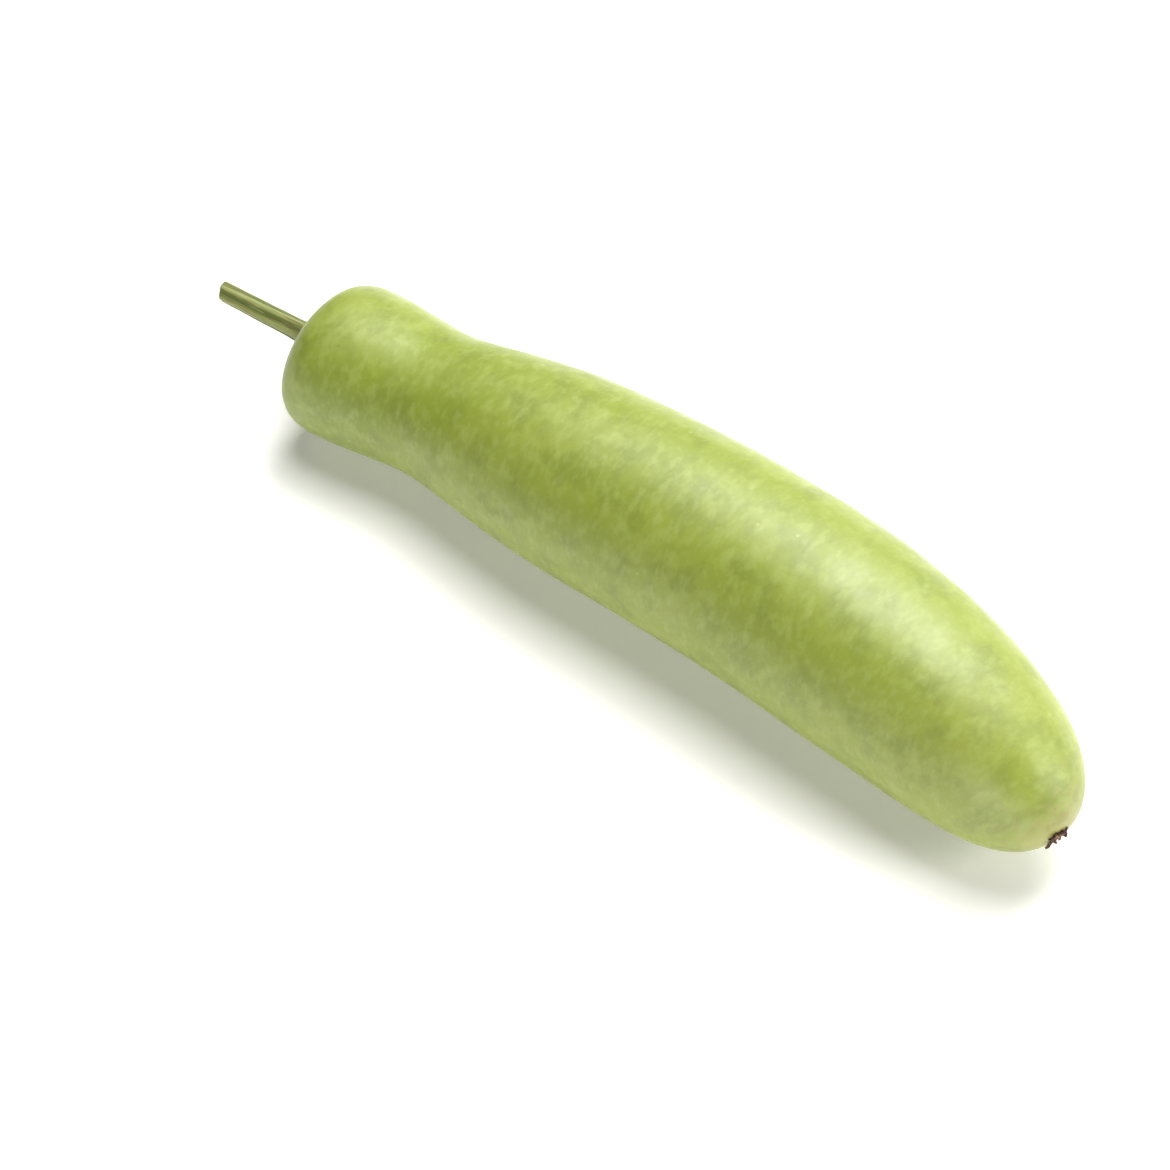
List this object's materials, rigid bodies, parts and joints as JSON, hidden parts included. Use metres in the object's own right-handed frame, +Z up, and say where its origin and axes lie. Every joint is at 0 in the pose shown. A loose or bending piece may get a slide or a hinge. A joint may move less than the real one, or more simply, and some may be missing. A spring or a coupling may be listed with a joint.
{
  "type": "bottle gourd",
  "caption": "Long pale green bottle gourd with a blunt crown, a slight neck and a gentle bend, a cut ribbed stem and a dry blossom scar, lying on its side.",
  "frame": {"origin": "on the ground, in the flat spot under the belly, below the gourd's weight", "axes": "+X along the gourd towards its blossom end, +Y towards the outside of its bend, +Z up"},
  "size_m": [0.4357, 0.0921, 0.0835],
  "materials": {
    "gourd_skin": "smooth waxy skin with a soft sheen",
    "stem": "matt ribbed green stalk",
    "dry_flower": "matt shrivelled brown"
  },
  "bodies": {
    "root": {"fruit": "gourd_skin", "stem": "stem", "blossom_scar": "dry_flower"}
  },
  "joints": []
}
